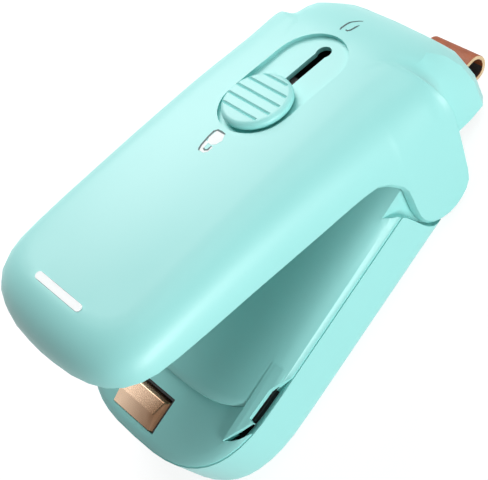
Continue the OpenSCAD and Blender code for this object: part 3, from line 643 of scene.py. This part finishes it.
@dataclass
class LockMark:
    """One printed padlock on the lid: dark strokes that are painted shadow along its outline, and
    a white fill on the front one.
    """

    name: str
    strokes: Sequence[Sequence[Flat]]
    fills: Sequence[Sequence[Flat]] = ()
    line: float = 0.42
    tip: float = 0.6
    proud: float = 0.03
    fill_share: float = 0.5
    start_z: float = 45.0

    def flat(self, name: str, rings: Sequence[Sequence[Flat]]) -> bpy.types.Object:
        """Makes a flat print from closed outlines.

        Args:
            name: The name of the piece.
            rings: Outlines in millimetres on the level lid, each filled.

        Returns:
            The print, level and high over the lid.
        """
        verts: list[Point] = []
        faces: list[list[int]] = []
        for ring in rings:
            first = len(verts)
            verts += [(x * MM, y * MM, self.start_z * MM) for x, y in ring]
            faces.append(list(range(first, first + len(ring))))
        mesh = bpy.data.meshes.new(name)
        mesh.from_pydata(verts, [], faces)
        return link_new(name, mesh)

    def band(self, line: Sequence[Flat]) -> list[Flat]:
        """Widens a middle line to one closed band that narrows at its ends.

        Args:
            line: Points in millimetres along the middle of the stroke.

        Returns:
            The band's outline, counter-clockwise seen from above.
        """
        left, right = [], []
        last = len(line) - 1
        for index, (x, y) in enumerate(line):
            (ax, ay), (bx, by) = line[max(0, index - 1)], line[min(last, index + 1)]
            length = math.hypot(bx - ax, by - ay)
            half = self.line / 2 * (self.tip if index in (0, last) else 1.0)
            nx, ny = (by - ay) / length * half, (ax - bx) / length * half
            right.append((x + nx, y + ny))
            left.append((x - nx, y - ny))
        return right + left[::-1]

    def build(self, lid: bpy.types.Object) -> list[bpy.types.Object]:
        """Prints the mark onto the lid.

        Args:
            lid: The lid's skin, which the print is pressed on.

        Returns:
            The painted shadow strokes and, on the front mark, the white fill.
        """
        bands = [self.band(stroke) for stroke in self.strokes]
        # The _rim layer is painted shadow along the padlock's outline
        layers = [(self.name + "_rim", PAINTED_SHADOW_INK, bands, self.proud)]
        if self.fills:
            fill_height = self.fill_share * self.proud
            layers.append((self.name + "_fill", WHITE_INK, self.fills, fill_height))
        made = []
        for name, finish, rings, height in layers:
            obj = self.flat(name, rings)
            lay_on_lid(obj)
            with_modifier(obj, "TRIANGULATE")
            with_modifier(obj, "SUBSURF", subdivision_type="SIMPLE", levels=2, render_levels=2)
            self.press(obj, lid, height)
            dress(obj, finish)
            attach(obj, "lid")
            made.append(obj)
        return made

    def press(self, obj: bpy.types.Object, lid: bpy.types.Object, height: float) -> None:
        """Lays each point of a print on the lid's surface.

        Args:
            obj: The print.
            lid: The lid's skin.
            height: How far the print stands proud, in millimetres.
        """
        down = (HINGE.lid_matrix().to_3x3() @ Vector((0, 0, -1))).normalized()
        for vertex in obj.data.vertices:
            hit, place, _, _ = lid.ray_cast(vertex.co, down)
            if hit:
                vertex.co = place - down * height * MM


@dataclass
class Strap:
    """Folded leather strap: brown face, cream cut edges and an inner side painted near black as
    the shade inside the fold.
    """

    edge_mm: float = 0.12
    side_normal: float = 0.6
    hollow_mm: float = 6.0
    lift_mm: float = 0.02

    def build(self) -> bpy.types.Object:
        """Dresses a smooth copy of the folded strap face by face.

        Returns:
            The strap.
        """
        strap = merged_copy("strap_loop", "strap_leather", SKIN_ANGLE)
        soften(strap, self.edge_mm)
        dress(strap, TAN_LEATHER, CUT_EDGE, FLESH_SIDE_PAINTED_SHADE)
        for polygon in strap.data.polygons:
            if abs(polygon.normal.x) > self.side_normal:
                polygon.material_index = 1
            # Faces towards the hollow of the fold get the near black painted shade
            elif self.is_inner(polygon):
                polygon.material_index = 2
            else:
                polygon.material_index = 0
        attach(strap, "lid")
        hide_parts("strap_loop")
        return strap

    def is_inner(self, polygon: bpy.types.MeshPolygon) -> bool:
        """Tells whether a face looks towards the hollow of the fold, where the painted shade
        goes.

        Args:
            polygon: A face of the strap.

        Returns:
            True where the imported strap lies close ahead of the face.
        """
        start = polygon.center + polygon.normal * self.lift_mm * MM
        reach = self.hollow_mm * MM
        packed = frame["nodes"]["strap_loop"]
        return packed.ray_cast(start, polygon.normal, distance=reach)[0]


@dataclass(frozen=True)
class Lamp:
    """A flat lamp: its place, its size and what it looks at in metres, and its watts."""

    name: str
    place: Point
    width: float
    height: float
    watts: float
    target: Point = (0.0, 0.0, 0.02)

    def build(self) -> None:
        """Hangs the lamp."""
        data = bpy.data.lights.new(self.name, "AREA")
        data.shape = "RECTANGLE"
        data.size = self.width
        data.size_y = self.height
        data.energy = self.watts
        lamp = bpy.data.objects.new(self.name, data)
        bpy.context.scene.collection.objects.link(lamp)
        lamp.location = self.place
        aim = Vector(self.target) - Vector(self.place)
        lamp.rotation_euler = aim.to_track_quat("-Z", "Y").to_euler()


@dataclass
class Stage:
    """Floor, lamps, world and camera."""

    camera_from_pin: Point = (166.62, -30.23, 215.99)
    camera_turn: Point = (25.586, 32.391, 41.643)
    focal_px: float = 1300.0
    image_w: int = 488
    sensor: float = 36.0
    clip_start: float = 0.01
    floor_size: float = 6.0
    floor_drop: float = 0.02
    floor_grey: float = 0.6
    veil_grey: float = 0.32
    glow: float = 0.86
    sky: float = 0.07
    lamps: Sequence[Lamp] = (
        Lamp("right_box", (0.97, -0.12, 0.1), 0.7, 0.14, 8.2),
        Lamp("left_box", (-0.66, 0.45, 0.52), 0.6, 0.6, 6.8),
        Lamp("rear_box", (0.1, 0.6, 0.8), 0.8, 0.8, 3.6),
    )

    def seen_directly(self, tree: bpy.types.NodeTree) -> bpy.types.NodeSocket:
        """Adds a switch that is one for what the camera, gloss and glass see.

        Args:
            tree: The node tree that gets the switch.

        Returns:
            One for camera, glossy and transmission rays, and zero for the rest.
        """
        paths = add_node(tree, "ShaderNodeLightPath").outputs
        switch = paths["Is Camera Ray"]
        for ray in ("Is Glossy Ray", "Is Transmission Ray"):
            switch = add_node(
                tree, "ShaderNodeMath", {"operation": "MAXIMUM"}, {0: switch, 1: paths[ray]}
            ).outputs[0]
        return switch

    def floor(self) -> None:
        """Lays a wide pale floor that keeps the shadow and looks white to the camera."""
        bpy.ops.mesh.primitive_plane_add(
            size=self.floor_size, location=(0, 0, -self.floor_drop * MM)
        )
        floor = bpy.context.object
        floor.name = "floor"
        material = bpy.data.materials.new("pale_floor")
        material.use_nodes = True
        tree = material.node_tree
        tree.nodes.clear()
        matt, veil = (
            add_node(tree, "ShaderNodeBsdfDiffuse", {"Color": (grey, grey, grey, 1)})
            for grey in (self.floor_grey, self.veil_grey)
        )
        white = {"Color": (1, 1, 1, 1), "Strength": self.glow}
        glow = add_node(tree, "ShaderNodeEmission", white)
        shown = add_node(
            tree, "ShaderNodeAddShader", None, {0: veil.outputs[0], 1: glow.outputs[0]}
        )
        both = add_node(
            tree,
            "ShaderNodeMixShader",
            None,
            {0: self.seen_directly(tree), 1: matt.outputs[0], 2: shown.outputs[0]},
        )
        add_node(tree, "ShaderNodeOutputMaterial", None, {"Surface": both.outputs[0]})
        floor.data.materials.append(material)

    def world(self) -> None:
        """Sets an even sky that the camera and reflections see as white."""
        world = bpy.data.worlds.new("even_sky")
        bpy.context.scene.world = world
        world.use_nodes = True
        tree = world.node_tree
        tree.nodes.clear()
        dim, white = (
            add_node(
                tree, "ShaderNodeBackground", {"Color": (1, 1, 1, 1), "Strength": strength}
            )
            for strength in (self.sky, 1.0)
        )
        both = add_node(
            tree,
            "ShaderNodeMixShader",
            None,
            {0: self.seen_directly(tree), 1: dim.outputs[0], 2: white.outputs[0]},
        )
        add_node(tree, "ShaderNodeOutputWorld", None, {"Surface": both.outputs[0]})

    def camera(self) -> None:
        """Sets the camera where the photograph was taken from."""
        data = bpy.data.cameras.new("camera")
        data.sensor_width = self.sensor
        data.lens = self.focal_px / self.image_w * self.sensor
        data.clip_start = self.clip_start
        camera = bpy.data.objects.new("camera", data)
        bpy.context.scene.collection.objects.link(camera)
        camera.location = Vector(self.camera_from_pin) * MM + Vector((0, HINGE.y, 0))
        camera.rotation_euler = [math.radians(v) for v in self.camera_turn]
        bpy.context.scene.camera = camera

    def build(self) -> None:
        """Sets the whole stage."""
        self.floor()
        self.world()
        for lamp in self.lamps:
            lamp.build()
        self.camera()
        bpy.context.scene.view_settings.view_transform = "Standard"


@dataclass
class Base:
    """Base of the sealer with its deck, heater, cutter, cell and boards."""

    def build(self) -> list[bpy.types.Object]:
        """Dresses every piece of the base.

        Returns:
            The objects that show.
        """
        plain = (
            DressedNode("base_shell", AQUA_ABS, "base", smooth=SHELL_ANGLE),
            DressedNode("base_deck", AQUA_ABS, "base", smooth=SHELL_ANGLE),
            DressedNode("base_screws", PLATED_STEEL, "base"),
            DressedNode("hinge_pin", PLATED_STEEL, "base"),
            DressedNode("return_spring", PLATED_STEEL, "base", smooth=50),
            DressedNode("heater_seat", BLACK_PPS, "base"),
            DressedNode("heater_core", ALUMINA, "base"),
            DressedNode(
                "heater_block", BRONZE_STRIP, "base", smooth=8, edge_mm=0.2, crisp=True
            ),
            DressedNode("heater_leads", WHITE_SLEEVE, "base", smooth=60),
            DressedNode("blade_holder", BLACK_PPS, "base"),
            DressedNode("cutter_blade", BLADE_STEEL, "base"),
            DressedNode("battery_cell", POUCH_FOIL, "base", smooth=40),
            DressedNode("battery_leads", RED_SLEEVE, "base", smooth=60),
            DressedNode("main_board", GREEN_BOARD, "base"),
            DressedNode("usb_socket", PLATED_STEEL, "base", smooth=30),
            DressedNode("press_switch", BLACK_PPS, "base"),
            DressedNode("switch_plunger", WHITE_ACETAL, "plunger", smooth=30),
        )
        return [piece.build() for piece in plain]


@dataclass
class Lid:
    """Hinged lid with its liner, pad, light bar, strap and lock marks."""

    marks: Sequence[LockMark] = (
        LockMark(
            "lock_mark_front",
            strokes=(
                ((-0.7, -32.9), (-1.05, -32.4), (-1.35, -31.6), (-1.5, -30.6), (-1.7, -29.4),
                 (-1.75, -28.0), (-1.26, -27.4), (-0.3, -27.35), (0.9, -27.4)),
                ((-0.3, -32.0), (0.3, -32.2), (0.8, -31.86), (0.72, -30.8)),
            ),
            fills=(
                ((-1.3, -27.6), (-1.45, -29.6), (-0.8, -30.6), (0.4, -30.65), (1.2, -30.1),
                 (1.6, -28.8), (0.9, -27.55)),
                ((-1.3, -30.4), (-1.2, -31.6), (-0.75, -32.75), (-0.3, -32.15), (-0.5, -30.5)),
                ((-0.7, -32.8), (0.5, -32.85), (1.2, -32.2), (1.3, -31.0), (0.9, -30.9),
                 (0.85, -31.7), (0.3, -32.25), (-0.4, -32.1)),
            ),
        ),
        LockMark(
            "lock_mark_rear",
            strokes=(
                ((-1.4, 4.9), (-1.65, 5.6), (-1.73, 7.0), (-1.5, 8.4), (-1.1, 9.5), (-0.6, 10.1)),
                ((-0.45, 5.5), (0.1, 5.45), (0.45, 5.95), (0.53, 7.1), (0.65, 8.15)),
            ),
        ),
    )

    def build(self) -> list[bpy.types.Object]:
        """Dresses every piece of the lid.

        Returns:
            The objects that show.
        """
        shell = DressedNode("lid_shell", AQUA_ABS, "lid", smooth=SHELL_ANGLE).build()
        ease_shoulders(shell)
        plain = (
            DressedNode("lid_liner", AQUA_ABS, "lid", smooth=SHELL_ANGLE),
            DressedNode("lid_screws", PLATED_STEEL, "lid"),
            DressedNode("pressure_pad", SILICONE, "lid", smooth=30, edge_mm=0.2),
            DressedNode("light_guide", MILKY_ACRYLIC, "lid", smooth=30, edge_mm=0.15),
            DressedNode("led_board", GREEN_BOARD, "lid"),
            DressedNode("strap_pin", PLATED_STEEL, "lid"),
        )
        made = [shell] + [piece.build() for piece in plain]
        for mark in self.marks:
            made += mark.build(shell)
        made.append(Strap().build())
        return made


def level_block(name: str, low: Point, high: Point) -> bpy.types.Object:
    """Adds a block between two corners given in millimetres on the level lid.

    Args:
        name: The name of the block.
        low: Its lowest corner.
        high: Its highest corner.

    Returns:
        The block, with its place in its mesh.
    """
    bpy.ops.object.select_all(action="DESELECT")
    middle = [(a + b) / 2 * MM for a, b in zip(low, high)]
    bpy.ops.mesh.primitive_cube_add(size=1, location=middle)
    block = bpy.context.object
    block.name = name
    block.scale = [(b - a) * MM for a, b in zip(low, high)]
    settle(block)
    return block


def carve(obj: bpy.types.Object, tool: bpy.types.Object, operation: str) -> None:
    """Joins or cuts an object with a tool, which is then removed.

    Args:
        obj: The object that is changed.
        tool: The closed mesh that joins it or cuts it.
        operation: UNION or DIFFERENCE.
    """
    with_modifier(obj, "BOOLEAN", object=tool, operation=operation, solver="EXACT")
    bpy.data.objects.remove(tool, do_unlink=True)


@dataclass
class ThumbButton:
    """Round thumb button with a rounded rim, five narrow grooves and a stem."""

    y: float = -18.2
    radius: float = 7.1
    bottom: float = 33.38
    top: float = 35.48
    rim: float = 0.95
    groove_pitch: float = 2.4
    groove_count: int = 5
    groove_shift: float = 0.7
    groove_side: float = 0.5
    groove_reach: float = 6.5
    groove_x: float = -0.5
    stem_half: Flat = (1.1, 2.0)
    stem_bottom: float = 31.98
    stem_overlap: float = 0.4
    hole_r: float = 0.65
    hole_top: float = 34.28
    hole_extra: float = 1.0
    sharp_angle: float = 25.0

    def build(self) -> bpy.types.Object:
        """Models the button and cuts its grooves.

        Returns:
            The button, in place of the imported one.
        """
        bpy.ops.object.select_all(action="DESELECT")
        bpy.ops.mesh.primitive_cylinder_add(
            vertices=96,
            radius=self.radius * MM,
            depth=(self.top - self.bottom) * MM,
            location=(0, self.y * MM, (self.top + self.bottom) / 2 * MM),
        )
        button = bpy.context.object
        button.name = "thumb_button"
        settle(button)
        with_modifier(
            button,
            "BEVEL",
            width=self.rim * MM,
            segments=6,
            limit_method="ANGLE",
            angle_limit=math.radians(CUT_EDGE_ANGLE),
        )
        carve(button, self.stem(), "UNION")
        for index in range(self.groove_count):
            carve(button, self.groove(index), "DIFFERENCE")
        carve(button, self.hole(), "DIFFERENCE")
        lay_on_lid(button)
        smooth(button, self.sharp_angle)
        dress(button, AQUA_ABS)
        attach(button, "slide")
        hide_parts("slide_button")
        return button

    def stem(self) -> bpy.types.Object:
        """Makes the stem that reaches down through the slot to the latch.

        Returns:
            The stem, whose upper end overlaps the button.
        """
        half_x, half_y = self.stem_half
        return level_block(
            "stem",
            (-half_x, self.y - half_y, self.stem_bottom),
            (half_x, self.y + half_y, self.bottom + self.stem_overlap),
        )

    def groove(self, index: int) -> bpy.types.Object:
        """Makes the cutter of one groove, a bar that stands on its edge.

        Args:
            index: Which groove, from the front.

        Returns:
            The cutter, a little shorter than the face is wide there.
        """
        offset = (index - (self.groove_count - 1) / 2) * self.groove_pitch + self.groove_shift
        reach = math.sqrt(self.groove_reach**2 - offset**2)
        bpy.ops.object.select_all(action="DESELECT")
        bpy.ops.mesh.primitive_cube_add(
            size=1,
            location=(self.groove_x * MM, (self.y + offset) * MM, self.top * MM),
            rotation=(math.radians(45), 0, 0),
        )
        bar = bpy.context.object
        bar.scale = (2 * reach * MM, self.groove_side * MM, self.groove_side * MM)
        settle(bar)
        return bar

    def hole(self) -> bpy.types.Object:
        """Makes the cutter of the screw's hole in the stem.

        Returns:
            The cutter, which reaches past the stem's lower end.
        """
        low = self.stem_bottom - self.hole_extra
        bpy.ops.object.select_all(action="DESELECT")
        bpy.ops.mesh.primitive_cylinder_add(
            vertices=24,
            radius=self.hole_r * MM,
            depth=(self.hole_top - low) * MM,
            location=(0, self.y * MM, (self.hole_top + low) / 2 * MM),
        )
        hole = bpy.context.object
        settle(hole)
        return hole


@dataclass
class SlideTray:
    """Black tray under the track that closes the slot off from below, open to the front; its
    black is painted shade for the depth of the slot.
    """

    low: Point = (-5.2, -10.0, 28.7)
    high: Point = (5.2, 3.9, 32.18)
    wall: float = 0.7
    edge: float = 0.15
    near: float = 0.01

    def build(self) -> bpy.types.Object:
        """Models the tray as a folded sheet with a wall.

        Returns:
            The tray, under the lid's track.
        """
        tray = level_block("slide_tray", self.low, self.high)
        front, top, near = self.low[1] * MM, self.high[2] * MM, self.near * MM
        bpy.ops.object.mode_set(mode="EDIT")
        bpy.ops.mesh.select_mode(type="FACE")
        bpy.ops.mesh.select_all(action="DESELECT")
        bpy.ops.object.mode_set(mode="OBJECT")
        for polygon in tray.data.polygons:
            middle = polygon.center
            polygon.select = abs(middle.y - front) < near or abs(middle.z - top) < near
        bpy.ops.object.mode_set(mode="EDIT")
        bpy.ops.mesh.delete(type="FACE")
        bpy.ops.object.mode_set(mode="OBJECT")
        with_modifier(tray, "SOLIDIFY", thickness=self.wall * MM, offset=-1.0)
        with_modifier(
            tray,
            "BEVEL",
            width=self.edge * MM,
            segments=2,
            limit_method="ANGLE",
            angle_limit=math.radians(CUT_EDGE_ANGLE),
        )
        lay_on_lid(tray)
        smooth(tray, SKIN_ANGLE)
        # Black as painted shade deep inside the slot
        dress(tray, BLACK_PPS)
        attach(tray, "lid")
        return tray


@dataclass
class Slide:
    """Thumb slide on the lid with its latch, its screw and the tray under its track."""

    def build(self) -> list[bpy.types.Object]:
        """Dresses the pieces of the slide.

        Returns:
            The objects that show.
        """
        plain = (
            DressedNode("slide_latch", BLACK_PPS, "slide"),
            DressedNode("slide_screw", PLATED_STEEL, "slide"),
        )
        return [ThumbButton().build(), SlideTray().build()] + [piece.build() for piece in plain]


def main() -> None:
    """Builds the stage and the sealer in order and reports each piece."""
    Stage().build()
    for part in (Base(), Lid(), Slide()):
        for obj in part.build():
            LOG.info("%s: %s", type(part).__name__, obj.name)


if __name__ == "__main__":
    main()
